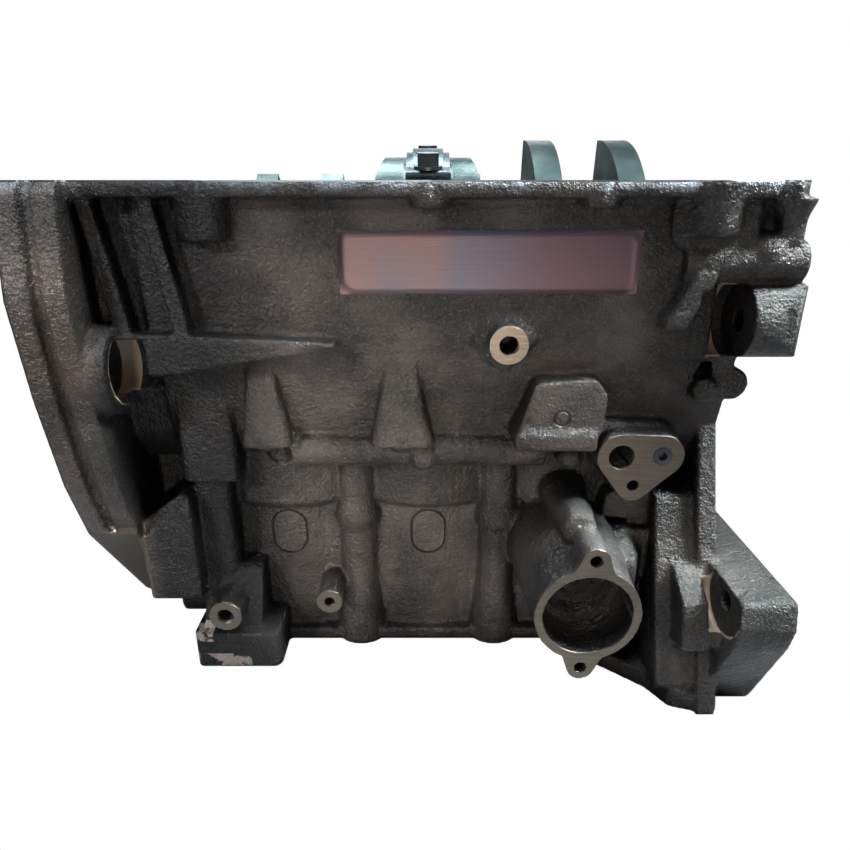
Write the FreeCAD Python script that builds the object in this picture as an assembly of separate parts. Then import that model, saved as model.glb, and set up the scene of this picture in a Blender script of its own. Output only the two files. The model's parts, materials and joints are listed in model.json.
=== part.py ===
# Three-cylinder short block, standing upside down on its cylinder-head face.
# X runs along the crankshaft from the gearbox end (-X) to the timing end (+X).
# Z = 0 is the head face, +Z points to the sump. The origin is the middle cylinder's axis.
# The water pump side faces -Y. All sizes are in millimetres.
import FreeCAD
import Part

import math
import os

from FreeCAD import Vector

# Cylinders and crank train
bore_r = 35.95
bore_pitch = 78.0
stroke = 82.0
rod_length = 135.0
compression_height = 29.0
piston_length = 50.0
middle_pin_angle = 160.0
main_r = 23.5
main_half = 10.5
pin_r = 20.5
shell_t = 1.9
oil_gap = 0.03
seat_gap = 0.03
web_gap = 3.0
web_t = 17.0
web_fan_angle = 36.0
web_bevel = 6.0
flange_r = 37.0
flange_bolt_pcd = 52.0
flange_bolt_r = 4.6
pilot_r = 11.0
nose_r = 16.0
nose_length = 48.0
nose_bolt_r = 6.0

# The crank axis stands one throw, one rod and one piston crown above the head face
throw = stroke / 2
crank_z = throw + rod_length + compression_height
web_r = rod_length - throw - (piston_length - compression_height) - web_gap

# Casting heights, measured from the crank axis, and walls
rail_z = crank_z + 50.0
knee_z = crank_z - 17.0
root_z = crank_z - 72.0
jacket_top = crank_z - 91.0
jacket_depth = jacket_top - 28.0
bulge_z = jacket_top - 24.0
barrel_end = crank_z - web_r - web_gap
bay_floor = barrel_end - 6.0
rail_t = 7.0
rail_y = 99.0
skirt_y = 90.0
knee_y = 88.0
root_y = 74.0
skirt_wall = 6.0
jacket_y = 59.0
jacket_wall = 6.5
barrel_wall = 5.5
deck_t = 7.0
deck_y = 66.0
bulge_r = 60.0
bulge_out = 8.5
lower_bulge_out = 2.0

# Ends of the casting
block_rear = -129.0
block_front = 146.0
bell_face = -175.0
bell_t = 25.0
rear_wall = -150.0
lug_face = 168.0
lug_seat = 142.0
front_wall_t = 10.0
bell_boss_z = crank_z - 32.0
bell_bolts = ((-89.0, bell_boss_z), (89.0, bell_boss_z), (-50.0, 54.0), (50.0, 54.0))

# Main bearings and head bolts
bulkhead_t = 18.0
cap_half = 50.0
cap_height = 42.0
cap_bolt_y = 37.0
cap_bolt_r = 5.0
cap_bolt_depth = 48.0
head_bolt_y = 50.0
head_bolt_r = 5.0
head_bolt_depth = 60.0
column_y = 55.0
column_r = 11.0

# Machined faces on the pump side
pad_x = (-39.5, 93.5)
pad_z = (crank_z + 2.0, crank_z + 29.5)
pad_y = 0.6 - knee_y
stud_x, stud_z = 36.0, crank_z - 19.0
foot_x, foot_z = -109.0, 35.0
small_x, small_z = -54.0, 38.0
pump_x, pump_z = 74.0, 66.0
pump_face = -133.0
pump_rim_r = 25.0
pump_bores = ((21.0, 25.0), (17.0, 36.0), (13.0, 56.0))
pump_ear_pcd = 58.4
pump_ear_r = 6.6
pump_ear_hole_r = 3.0
pump_ear_tilt = 2.6
flange_face = -98.0
port_z = root_z - 2.0
flange_ports = ((92.5, port_z, 11.5, 6.2), (99.5, port_z - 15, 8.0, 3.0), (112.0, port_z + 0.5, 10.5, 4.6))
port_depth = 30.0
far_bosses = (-72.0, 6.0, 84.0)
far_boss_z = crank_z - 47.0

# Mounting lugs at the timing end
upper_lug = (-87.0, crank_z - 10.0)
lower_lug = (-122.0, 67.0)
lower_lug_top = 75.0
lug_r = 17.0
lug_hole_r = 5.2

# Rear seal retainer
seal_r = 32.0
seal_outer_r = seal_r + 10.0
retainer_t = 8.0
retainer_half = seal_outer_r + 18.0
retainer_drop = seal_outer_r + 12.5
retainer_bolt_r = 3.0

# Pistons
piston_gap = 0.06
crown_t = 7.0
ring_widths = (1.2, 1.2, 2.4)
ring_first = 6.0
ring_step = 4.6
ring_depth = 3.2
wrist_r = 10.5
wrist_length = 54.0

bores = [(i - 1) * bore_pitch for i in range(3)]
mains = [(i - 1.5) * bore_pitch for i in range(4)]
pin_angles = [middle_pin_angle + 120.0, middle_pin_angle, middle_pin_angle - 120.0]
main_housing_r = main_r + oil_gap + shell_t
rod_housing_r = pin_r + oil_gap + shell_t
pin_half = bore_pitch / 2 - main_half - web_t


def at(axis, along, u, v):
    """A point from its place along one axis and its two others, in X, Y, Z order."""
    if axis == "X":
        return Vector(along, u, v)
    if axis == "Y":
        return Vector(u, along, v)
    return Vector(u, v, along)


def outline(points, radius, axis, along):
    """A closed wire through 2D points, with each corner rounded by a tangent arc."""
    arcs = []
    for i, (u, v) in enumerate(points):
        corner = Vector(u, v, 0)
        before = Vector(*points[i - 1], 0) - corner
        after = Vector(*points[(i + 1) % len(points)], 0) - corner
        half = before.getAngle(after) / 2
        cut = min(radius / math.tan(half), 0.45 * min(before.Length, after.Length))
        start = corner + before.normalize() * cut
        end = corner + after.normalize() * cut
        chord = (start + end) * 0.5 - corner
        reach = math.hypot(cut, cut * math.tan(half)) - cut * math.tan(half)
        middle = corner + chord * (reach / chord.Length)
        arcs.append([at(axis, along, p.x, p.y) for p in (start, middle, end)])
    edges = []
    for i, (start, middle, end) in enumerate(arcs):
        edges.append(Part.LineSegment(arcs[i - 1][2], start).toShape())
        edges.append(Part.Arc(start, middle, end).toShape())
    return Part.Wire(edges)


def belt(circles, axis, along):
    """A closed wire around circles (u, v, r), given anticlockwise, with tangent lines."""
    tangents = []
    for i, (u0, v0, r0) in enumerate(circles):
        u1, v1, r1 = circles[(i + 1) % len(circles)]
        heading = math.atan2(v1 - v0, u1 - u0)
        angle = heading - math.acos((r0 - r1) / math.hypot(u1 - u0, v1 - v0))
        tangents.append(angle)
    edges = []
    for i, (u0, v0, r0) in enumerate(circles):
        u1, v1, r1 = circles[(i + 1) % len(circles)]
        angle = tangents[i]
        turn = (tangents[(i + 1) % len(circles)] - angle) % (2 * math.pi)
        leave = at(axis, along, u0 + r0 * math.cos(angle), v0 + r0 * math.sin(angle))
        meet = at(axis, along, u1 + r1 * math.cos(angle), v1 + r1 * math.sin(angle))
        half = angle + turn / 2
        middle = at(axis, along, u1 + r1 * math.cos(half), v1 + r1 * math.sin(half))
        full = angle + turn
        end = at(axis, along, u1 + r1 * math.cos(full), v1 + r1 * math.sin(full))
        edges.append(Part.LineSegment(leave, meet).toShape())
        edges.append(Part.Arc(meet, middle, end).toShape())
    return Part.Wire(edges)


def extrude(wire, axis, length):
    return Part.Face(wire).extrude(at(axis, length, 0, 0))


def prism(points, radius, axis, start, end):
    return extrude(outline(points, radius, axis, start), axis, end - start)


def belt_prism(circles, axis, start, end):
    return extrude(belt(circles, axis, start), axis, end - start)


def loft(first, second):
    return Part.makeLoft([first, second], True, True)


def rod(axis, u, v, r, start, end):
    """A round bar along an axis, from start to end."""
    return Part.makeCylinder(r, end - start, at(axis, start, u, v), at(axis, 1, 0, 0))


def cone(axis, u, v, r_start, r_end, start, end):
    return Part.makeCone(r_start, r_end, end - start, at(axis, start, u, v), at(axis, 1, 0, 0))


def box(x0, x1, y0, y1, z0, z1):
    return Part.makeBox(x1 - x0, y1 - y0, z1 - z0, Vector(x0, y0, z0))


def rectangle(u0, u1, v0, v1):
    return [(u0, v0), (u1, v0), (u1, v1), (u0, v1)]


def joined(solids):
    return solids[0].multiFuse(solids[1:]).removeSplitter()


def skirt_section(inset, top, floor):
    """The crankcase section in Y and Z, moved inward by a wall thickness."""
    root = root_y - inset
    knee = knee_y - inset
    foot = jacket_y - inset
    side = [(skirt_y - inset, top), (knee, knee_z), (root, root_z + inset / 2), (foot, floor)]
    return [(-y, z) for y, z in side] + [(y, z) for y, z in reversed(side)]


def crankcase():
    skirt = prism(skirt_section(0, rail_z, jacket_top - 4), 7, "X", block_rear, block_front)
    tip = lug_face - 6
    edge = [(bell_face, -rail_y), (tip - 8, -rail_y), (tip, -rail_y + 9), (tip, rail_y), (bell_face, rail_y)]
    parts = [skirt, prism(edge, 3, "Z", rail_z - rail_t, rail_z)]
    parts.append(cone("Z", tip - 6, -rail_y + 10, 3, 10, rail_z - 26, rail_z - rail_t))
    for side in (-1, 1):
        bolt_y = side * (rail_y - 8)
        for x in (1.0, 73.0):
            parts.append(rod("Z", x, bolt_y, 8.5, rail_z - 11, rail_z))
        for x, r, depth in ((-97.0, 13.5, 25.0), (122.0, 15.0, 23.0)):
            parts.append(cone("Z", x, bolt_y - side * 4, r - 2, r, rail_z - depth, rail_z))
    return parts


def jacket():
    """The outer wall round the cylinders, with its bulges, bolt columns and head face."""
    wall = prism(rectangle(block_rear, block_front - 12, -jacket_y + 1, jacket_y - 1), 12, "Z", 0, jacket_top)
    parts = [wall]
    for side in (-1, 1):
        for x in bores:
            lower = side * (jacket_y + lower_bulge_out - bulge_r)
            upper = side * (jacket_y + bulge_out - bulge_r)
            parts.append(rod("Z", x, lower, bulge_r, 0, jacket_top))
            parts.append(cone("Z", x, upper, bulge_r - 4, bulge_r, bulge_z - 4, bulge_z))
            parts.append(rod("Z", x, upper, bulge_r, bulge_z, jacket_top + 6))
        for x in mains:
            parts.append(rod("Z", x, side * column_y, column_r, 0, root_z))
            parts.append(cone("Z", x, side * column_y, column_r + 5, column_r, 0, 34))
            parts.append(Part.makeSphere(column_r + 2, Vector(x, side * (column_y + 1), bulge_z - 10)))
    face = rectangle(block_rear, block_front - 8, -deck_y, deck_y)
    parts.append(prism(face, 8, "Z", 0, deck_t))
    return parts


def wedge(x, half_low, half_top, low, top):
    """A boss that grows out of the crankcase wall on its way down to a flat foot."""
    foot = outline(rectangle(x - half_low, x + half_low, -knee_y, -root_y + 10), 5, "Z", low)
    crest = outline(rectangle(x - half_top, x + half_top, -knee_y + 3, -root_y + 10), 2, "Z", top)
    return loft(foot, crest)


def side_bosses():
    """What stands out of the crankcase wall on the pump side."""
    parts = []
    wall = -skirt_y + 4
    rhombus = [(-24, 2), (0, -18), (20, 2), (0, 18)]
    rhombus = [(stud_x + u, stud_z + v) for u, v in rhombus]
    tip = [(stud_x + u, stud_z + v) for u, v in ((-6, 0), (0, -6), (6, 0), (0, 6))]
    parts.append(loft(outline(rhombus, 3, "Y", wall), outline(tip, 3, "Y", -skirt_y - 8)))
    parts.append(rod("Y", stud_x, stud_z, 8.8, -skirt_y - 10, wall))
    shelf = [(41, root_z + 3), (44, root_z + 16), (50, root_z + 34), (78, root_z + 36), (84, root_z + 28)]
    shelf += [(83, root_z + 10), (79, root_z + 3)]
    parts.append(prism(shelf, 4, "Y", -rail_y + 3, -root_y + 4))
    parts.append(prism(rectangle(41, 80, root_z + 1.5, root_z + 11), 2, "Y", -rail_y - 1.5, -root_y + 4))
    parts.append(rod("Y", 63, root_z + 17, 3.3, -rail_y + 2.4, -root_y))
    parts.append(wedge(-80, 12.5, 5, root_z - 2, root_z + 50))
    parts.append(wedge(-13, 16, 5.5, root_z - 2, root_z + 48))
    for x, r in ((-76.0, 7.0), (-2.5, 7.5), (72.0, 7.0)):
        parts.append(rod("Y", x, root_z - 9, r, -root_y - 6, -60))
        parts.append(Part.makeSphere(r, Vector(x, -root_y - 6, root_z - 9)))
    roll = root_z - 8
    parts.append(rod("X", -root_y + 2, roll, 9, -70, 60))
    parts.append(Part.makeSphere(9, Vector(-70, -root_y + 2, roll)))
    parts.append(Part.makeCylinder(6, 40, Vector(79, -root_y - 8, root_z + 7), Vector(36, 0, -3)))
    parts.append(Part.makeSphere(6, Vector(79, -root_y - 8, root_z + 7)))
    return parts


def deck_bosses():
    """The foot and the small boss low on the pump side."""
    foot = prism(rectangle(block_rear, -81.5, -90, -50), 5, "Z", 0, 22)
    pillar = prism(rectangle(block_rear + 5, block_rear + 24, -73, -50), 5, "Z", 0, root_z + 40)
    step = prism(rectangle(block_rear + 3, block_rear + 32, -80, -50), 4, "Z", root_z - 24, root_z + 46)
    slope = prism([(-86, 20), (-70, 52), (-50, 58), (-50, 20)], 3, "X", -124, -92)
    boss = rod("Y", foot_x, foot_z, 8.9, -92, -58)
    small = rod("Y", small_x, small_z, 7, -83, -55)
    return [foot, pillar, step, slope, boss, small]


def pump_housing():
    """The round pump housing with its two ears and what it grows out of."""
    parts = [rod("Y", pump_x, pump_z, pump_rim_r, pump_face, -50)]
    parts.append(cone("Y", pump_x, pump_z, pump_rim_r, pump_rim_r + 5, pump_face + 12, -60))
    upper, lower = pump_ears()
    parts.append(cone("Y", upper[0] - 3, upper[1] + 4, 8, 13, -112, -58))
    foot = outline(rectangle(pump_x - 12, pump_x + 51, 3, pump_z + 19), 12, "Y", -57)
    parts.append(loft(outline(rectangle(pump_x - 6, pump_x + 31, 20, pump_z + 13), 12, "Y", -101), foot))
    for x, z in (upper, lower):
        ear = [(pump_x, pump_z, pump_rim_r - 8), (x, z, pump_ear_r)]
        parts.append(belt_prism(ear, "Y", pump_face, pump_face + 16))
        parts.append(rod("Y", x, z, pump_ear_r, pump_face, -62))
    raised = [(93, 55), (128, 55), (128, 84), (97, 84)]
    parts.append(prism(raised, 6, "Y", -84, -60))
    parts.append(prism([(90, 88), (126, 84), (126, 102), (94, 104)], 6, "Y", -78, -60))
    return parts


def pump_ears():
    """Centres of the upper and the lower ear in X and Z."""
    tilt = math.radians(90 + pump_ear_tilt)
    reach = pump_ear_pcd / 2
    step = (reach * math.cos(tilt), reach * math.sin(tilt))
    return [(pump_x - step[0] * k, pump_z + step[1] * k) for k in (1, -1)]


def port_flange():
    ring = [(x, z, r) for x, z, r, _ in flange_ports]
    face = belt_prism(ring, "Y", flange_face, flange_face + 14)
    root = [(x, z, r + 2) for x, z, r in ring]
    return [face, belt_prism(root, "Y", flange_face + 12, -58)]


def lug(place, front):
    """A round mounting lug along the crankshaft."""
    return rod("X", place[0], place[1], lug_r, lug_seat, front)


def front_end():
    """The timing end: a flared wall and the mounting lugs with their ribs."""
    flare = [(-skirt_y, rail_z), (-80, crank_z - 20), (-72, root_z + 17), (-126, 6), (-126, 0)]
    flare += [(66, 0), (66, 110), (skirt_y, crank_z - 20), (skirt_y, rail_z)]
    wall = prism(flare, 4, "X", block_front - front_wall_t, block_front)
    sweep = [(56, -60), (99, -92), (116, -106), (124, -119), (block_front, -126), (block_front, -60)]
    foot = prism(sweep, 6, "Z", 0, 10)
    web = prism([(-60, 104), (-84, 104), (-122, 8), (-60, 8)], 6, "X", block_front - 30, block_front - 4)
    y, z = upper_lug
    brace = [(-17, -3), (-7, -3), (5, 22), (-5, 22)]
    upper = [
        lug((y, z), lug_face),
        rod("X", -86, z + 26, 10, 112, lug_face - 2),
        rod("X", -80, z + 14, 8, lug_seat, lug_face - 8),
        box(128, lug_seat + 4, -86, -66, z - lug_r, z + lug_r),
        prism(rectangle(-94, -60, z + 30, rail_z - 8), 5, "X", lug_seat + 10, lug_face - 6),
        prism(rectangle(104, lug_seat, z + 32, rail_z - 4), 8, "Y", -94, -66),
        prism(rectangle(112, lug_seat + 8, z + 14, z + 32), 6, "Y", -90, -66),
        loft(outline([(122 + u, z + v) for u, v in brace], 2, "Y", -97),
             outline([(122 + u * 1.3, z + v) for u, v in brace], 2, "Y", -84)),
        rod("Y", lug_seat + 4, z - 32, 8, -84, -60),
        rod("Y", 132, z - 34, 6, -88, -60)]
    arm = [(-30, lower_lug_top), (-136, lower_lug_top), (-139, 62), (-136, 50), (-113, 0), (-30, 0)]
    lower = [
        prism(arm, 4, "X", lug_seat, lug_face),
        prism([(-60, 92), (-90, lower_lug_top + 2), (-118, 62), (-126, 40), (-60, 20)], 5, "X", 126, lug_seat + 2)]
    return [wall, foot, web] + upper + lower


def bell_outline(inset):
    """The gearbox flange in Y and Z, from the rail on the pump side round to the far rail."""
    side = [(-108, 0), (-115, 47), (-110, 92), (-101, 138), (-89, 171)]
    far = [(96, 171), (106, 138), (112, 92), (115, 47), (108, 0)]
    low = [(-40, 18), (-23, 2), (30, 2), (62, 22)]
    points = [(y, rail_z - drop) for y, drop in side] + low + [(y, rail_z - drop) for y, drop in far]
    lift = [(y * (1 - inset / 110), max(z + inset * 0.7, inset)) for y, z in points]
    return [(y, min(z, rail_z - inset * 0.4)) for y, z in lift]


def gearbox_end():
    """The bell-housing flange, the ribs that carry it and the rear wall."""
    flange = prism(bell_outline(0), 8, "X", bell_face, bell_face + 10)
    neck = prism(bell_outline(3.5), 8, "X", bell_face, bell_face + bell_t)
    bead = prism(bell_outline(1), 8, "X", bell_face + 15, bell_face + bell_t)
    wall = prism(skirt_section(2, rail_z, jacket_top), 7, "X", rear_wall, block_rear + 2)
    lower = prism(rectangle(-50, 50, 4, jacket_top + 6), 10, "X", rear_wall, block_rear + 2)
    parts = [flange, neck, bead, wall, lower]
    for side in (-1, 1):
        parts.append(rod("X", side * 89, bell_boss_z, 18, bell_face, rear_wall + 4))
        rib = [(-150, 17), (-112, 17), (-42, 13.5), (-42, 11), (-112, -1), (-150, -5)]
        rib = [(x, bell_boss_z + dz) for x, dz in rib]
        ends = sorted((side * 98, side * 80))
        parts.append(prism(rib, 2, "Y", ends[0], ends[1]))
        for top_x, foot_x in ((-146, -137), (-120, -111)):
            slant = [(top_x - 3, rail_z - 5), (foot_x - 3, bell_boss_z + 17)]
            slant += [(foot_x + 4, bell_boss_z + 17), (top_x + 4, rail_z - 5)]
            parts.append(prism(slant, 2, "Y", min(side * 97, side * 84), max(side * 97, side * 84)))
        web = [(rear_wall - 2, 86), (rear_wall + 26, 106), (rear_wall + 26, 92), (rear_wall + 10, 62), (rear_wall - 2, 50)]
        parts.append(prism(web, 3, "Y", min(side * 82, side * 48), max(side * 82, side * 48)))
    return parts


def far_side():
    """Bosses on the side away from the pump."""
    parts = [rod("Y", x, far_boss_z, 11, 60, 92) for x in far_bosses]
    rail = prism(rectangle(-100, 118, jacket_top - 10, jacket_top + 6), 6, "Y", 50, 74)
    parts.append(rail)
    parts.append(prism(rectangle(56, 118, far_boss_z - 18, far_boss_z + 38), 10, "Y", 60, 95))
    return parts


def crankcase_hollows():
    """The three bays, the saddles, the cap registers and the two end openings."""
    half = (bore_pitch - bulkhead_t) / 2
    inner = skirt_section(skirt_wall, rail_z + 1, bay_floor)
    cuts = []
    for x in bores:
        barrel = rod("Z", x, 0, bore_r + barrel_wall, bay_floor - 2, barrel_end)
        cuts.append(prism(inner, 6, "X", x - half, x + half).cut(barrel))
    first = mains[0] - bulkhead_t / 2
    last = mains[3] + bulkhead_t / 2
    above = rail_z + 1
    cuts.append(box(first - 1, last + 1, -cap_half, cap_half, crank_z, above))
    cuts.append(rod("X", 0, crank_z, main_housing_r, first - 1, last + 1))
    open_half = cap_half - 2
    for x0, x1 in ((bell_face - 1, first), (last, block_front + 1)):
        cuts.append(box(x0, x1, -open_half, open_half, crank_z, above))
        cuts.append(rod("X", 0, crank_z, open_half, x0, x1))
    pan = prism(bell_outline(13), 8, "X", bell_face - 1, bell_face + bell_t - 8)
    cuts.append(pan.cut([rod("X", y, z, 14, bell_face - 2, rear_wall) for y, z in bell_bolts]))
    seat = retainer_half + 0.1
    cuts.append(box(rear_wall - retainer_t - 0.05, rear_wall, -seat, seat, crank_z - retainer_drop - 0.5, above))
    slot = skirt_y - skirt_wall
    window = rectangle(last + 2, block_front - front_wall_t, -slot, slot)
    cuts.append(prism(window, 3, "Z", crank_z - 40, above))
    return cuts


def cylinder_hollows():
    """Bores and the open-deck water jacket round them."""
    cuts = []
    water = joined([rod("Z", x, 0, jacket_y - jacket_wall, -1, jacket_depth) for x in bores])
    barrels = joined([rod("Z", x, 0, bore_r + barrel_wall, -2, jacket_depth + 1) for x in bores])
    cuts.append(water.cut(barrels))
    for x in bores:
        cuts.append(rod("Z", x, 0, bore_r, -1, barrel_end + 1))
    for x in mains:
        for side in (-1, 1):
            cuts.append(rod("Z", x, side * head_bolt_y, head_bolt_r, -1, head_bolt_depth))
            bolt_start = crank_z - cap_bolt_depth
            cuts.append(rod("Z", x, side * cap_bolt_y, cap_bolt_r + seat_gap, bolt_start, crank_z + 1))
    return cuts


def machined_hollows():
    """Bores, tapped holes, spot faces and the machined pad on the outside."""
    cuts = []
    depth = 0
    for r, reach in pump_bores:
        cuts.append(rod("Y", pump_x, pump_z, r, pump_face - 1 + depth, pump_face + reach))
        depth = reach
    for x, z in pump_ears():
        cuts.append(rod("Y", x, z, pump_ear_hole_r, pump_face - 1, pump_face + 18))
    for x, z, _, hole_r in flange_ports:
        cuts.append(rod("Y", x, z, hole_r, flange_face - 1, flange_face + port_depth))
    pad = [(pad_x[0] + 5, pad_z[0]), (pad_x[1] - 3, pad_z[0]), (pad_x[1], pad_z[0] + 4), (pad_x[1], pad_z[1] - 4)]
    pad += [(pad_x[1] - 4, pad_z[1]), (pad_x[0] + 2, pad_z[1]), (pad_x[0], pad_z[1] - 3), (pad_x[0], pad_z[0] + 4)]
    cuts.append(prism(pad, 2, "Y", -skirt_y - 4, pad_y))
    cuts.append(rod("Y", stud_x, stud_z, 4.5, -skirt_y - 11, -skirt_y + 10))
    cuts.append(rod("Y", foot_x, foot_z, 4.6, -93, -70))
    cuts.append(rod("Y", small_x, small_z, 3.0, -84, -66))
    cuts.append(prism(rectangle(44, 60, root_z - 3, root_z + 1), 1.5, "Y", -rail_y - 2, -rail_y + 13))
    for y, z in (upper_lug, lower_lug):
        cuts.append(rod("X", y, z, lug_hole_r, lug_seat - 14, lug_face + 1))
        cuts.append(rod("X", y, z, lug_r, lug_seat - 22, lug_seat))
    y, z = upper_lug
    cuts.append(prism(rectangle(145.5, 151, z + 34, rail_z - 14), 2.5, "Y", -100, -88))
    cuts.append(rod("Z", lug_seat + 6, -rail_y + 1, 3.2, rail_z - rail_t - 1, rail_z + 1))
    for side in (-1, 1):
        for x in (-135, -96, -46, 1, 73, 122):
            cuts.append(rod("Z", x, side * (rail_y - 7), 3.0, rail_z - 14, rail_z + 1))
    for y, z in bell_bolts:
        cuts.append(rod("X", y, z, 5.2, bell_face - 1, rear_wall + 6))
    for y, z in retainer_bolts():
        cuts.append(rod("X", y, z, retainer_bolt_r + seat_gap, rear_wall - 1, rear_wall + 15))
    for x in far_bosses:
        cuts.append(rod("Y", x, far_boss_z, 4.3, 76, 93))
    return cuts


def block():
    solids = crankcase() + jacket() + side_bosses() + deck_bosses() + pump_housing()
    solids += port_flange() + front_end() + gearbox_end() + far_side()
    casting = joined(solids)
    cuts = crankcase_hollows() + cylinder_hollows() + machined_hollows()
    casting = casting.cut(cuts)
    casting = casting.common(box(bell_face, lug_face, -150, 150, 0, rail_z))
    return max(casting.Solids, key=lambda solid: solid.Volume)


def crank_pin(index):
    """The crank pin's centre in Y and Z; the angle counts from top dead centre to -Y."""
    angle = math.radians(pin_angles[index])
    return (-throw * math.sin(angle), crank_z - throw * math.cos(angle))


def crank_web(x0, x1, pin_end, index):
    """A web: a bevelled cheek round the pin and a fan-shaped counterweight opposite."""
    cheek = belt_prism([(0, 0, main_r + 6), (throw, 0, pin_r + 3)], "X", x0, x1)
    reach = throw + pin_r + 3
    base_end = x0 + x1 - pin_end
    step = web_bevel if pin_end > base_end else -web_bevel
    bevel = [(base_end, reach - 12), (base_end + step, reach), (pin_end, reach), (pin_end, -web_r), (base_end, -web_r)]
    round_face = Part.Face(Part.makePolygon([Vector(x, 0, max(r, 0)) for x, r in bevel] + [Vector(base_end, 0, reach - 12)]))
    cheek = cheek.common(round_face.revolve(Vector(0, 0, 0), Vector(1, 0, 0), 360))
    edge = math.radians(web_fan_angle)
    fan = [(0, -26), (0, 26), (-30, 30), (-2 * web_r * math.cos(edge), 2 * web_r * math.sin(edge))]
    fan += [(-2 * web_r * math.cos(edge), -2 * web_r * math.sin(edge)), (-30, -30)]
    weight = prism(fan, 6, "X", x0 + 2, x1 - 2).common(rod("X", 0, 0, web_r, x0, x1))
    web = Part.makeCompound([joined([cheek, weight])])
    web.rotate(Vector(0, 0, 0), Vector(1, 0, 0), pin_angles[index] - 90)
    web.translate(Vector(0, 0, crank_z))
    return web.Solids[0]


def crankshaft():
    parts = [rod("X", 0, crank_z, main_r, x - main_half, x + main_half) for x in mains]
    outer = bore_pitch / 2 - main_half
    for i, x in enumerate(bores):
        y, z = crank_pin(i)
        parts.append(rod("X", y, z, pin_r, x - pin_half - 1, x + pin_half + 1))
        parts.append(crank_web(x - outer, x - pin_half, x - pin_half, i))
        parts.append(crank_web(x + pin_half, x + outer, x + pin_half, i))
    rear = mains[0] - main_half
    front = mains[3] + main_half
    parts.append(rod("X", 0, crank_z, seal_r, rear_wall - 14, rear))
    parts.append(rod("X", 0, crank_z, flange_r, bell_face - 6, rear_wall - 13))
    parts.append(rod("X", 0, crank_z, nose_r + 4, front, block_front + 4))
    parts.append(rod("X", 0, crank_z, nose_r, front, block_front + nose_length))
    shaft = joined(parts)
    cuts = [rod("X", 0, crank_z, pilot_r, bell_face - 7, bell_face + 10)]
    for k in range(6):
        angle = math.radians(60 * k)
        y = flange_bolt_pcd / 2 * math.cos(angle)
        z = crank_z + flange_bolt_pcd / 2 * math.sin(angle)
        cuts.append(rod("X", y, z, flange_bolt_r, bell_face - 7, bell_face + 12))
    cuts.append(rod("X", 0, crank_z, nose_bolt_r, block_front + nose_length - 38, block_front + nose_length + 1))
    return shaft.cut(cuts)


def main_cap(x):
    top = crank_z + cap_height
    half = cap_half - seat_gap
    low = crank_z + seat_gap
    points = [(-half, low), (-half, low + 18), (-half + 8, top - 8), (-18, top), (18, top)]
    points += [(half - 8, top - 8), (half, low + 18), (half, low)]
    cap = prism(points, 2.5, "X", x - main_half + 1.5, x + main_half - 1.5)
    cuts = [rod("X", 0, crank_z, main_housing_r + seat_gap, x - 20, x + 20)]
    for side in (-1, 1):
        cuts.append(rod("Z", x, side * cap_bolt_y, cap_bolt_r + 0.4, crank_z - 1, top + 1))
        cuts.append(rod("Z", x, side * cap_bolt_y, 10.5, cap_seat(), top + 1))
    return cap.cut(cuts)


def cap_seat():
    return crank_z + cap_height - 12


def bolt(start, direction, shank_r, length, head_r, head_h):
    """A flanged hexagon bolt whose head seats at start and whose shank runs backwards."""
    axis = Vector(direction).normalize()
    shank = Part.makeCylinder(shank_r, length, start, axis * -1)
    collar = Part.makeCylinder(head_r * 1.18, head_h * 0.2, start, axis)
    side = axis.cross(Vector(1, 0, 0))
    if side.Length < 0.1:
        side = axis.cross(Vector(0, 1, 0))
    side.normalize()
    other = axis.cross(side)
    ring = []
    for k in range(7):
        angle = math.radians(60 * k)
        ring.append(start + side * (head_r * math.cos(angle)) + other * (head_r * math.sin(angle)))
    head = Part.Face(Part.makePolygon(ring)).extrude(axis * head_h)
    return joined([shank, collar, head])


def main_cap_bolts():
    bolts = []
    length = cap_seat() - crank_z + cap_bolt_depth - 4
    for x in mains:
        for side in (-1, 1):
            start = Vector(x, side * cap_bolt_y, cap_seat() + seat_gap)
            bolts.append(bolt(start, Vector(0, 0, 1), cap_bolt_r, length, 8.0, 9.0))
    return Part.makeCompound(bolts)


def half_shells(places, inner_r, outer_r, half, keep):
    """Half-round bearing shells; places are (x, y, z, turn) and keep is -1 or 1."""
    shells = []
    for x, y, z, turn in places:
        ring = rod("X", 0, 0, outer_r, -half, half).cut(rod("X", 0, 0, inner_r, -half - 1, half + 1))
        low, high = (seat_gap, outer_r + 1) if keep > 0 else (-outer_r - 1, -seat_gap)
        shell = ring.common(box(-half - 2, half + 2, -outer_r - 1, outer_r + 1, low, high))
        shell.rotate(Vector(0, 0, 0), Vector(1, 0, 0), turn)
        shell.translate(Vector(x, y, z))
        shells.append(shell)
    return shells


def main_shells(keep):
    places = [(x, 0, crank_z, 0) for x in mains]
    half = main_half - 1.5
    return Part.makeCompound(half_shells(places, main_r + oil_gap, main_housing_r - seat_gap, half, keep))


def thrust_washers():
    """Half washers either side of the second bulkhead."""
    washers = []
    x = mains[1]
    for start in (x - main_half + 0.05, x + bulkhead_t / 2 + 0.05):
        thick = main_half - bulkhead_t / 2 - 0.1
        ring = rod("X", 0, crank_z, main_r + 8, start, start + thick)
        ring = ring.cut(rod("X", 0, crank_z, main_r + 1, start - 1, start + thick + 1))
        washers.append(ring.common(box(start - 1, start + thick + 1, -60, 60, crank_z - 60, crank_z - 1)))
    return Part.makeCompound(washers)


def wrist_z(index):
    """Height of the piston pin, from the crank pin and the rod's length."""
    y, z = crank_pin(index)
    return z - math.sqrt(rod_length ** 2 - y ** 2)


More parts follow.
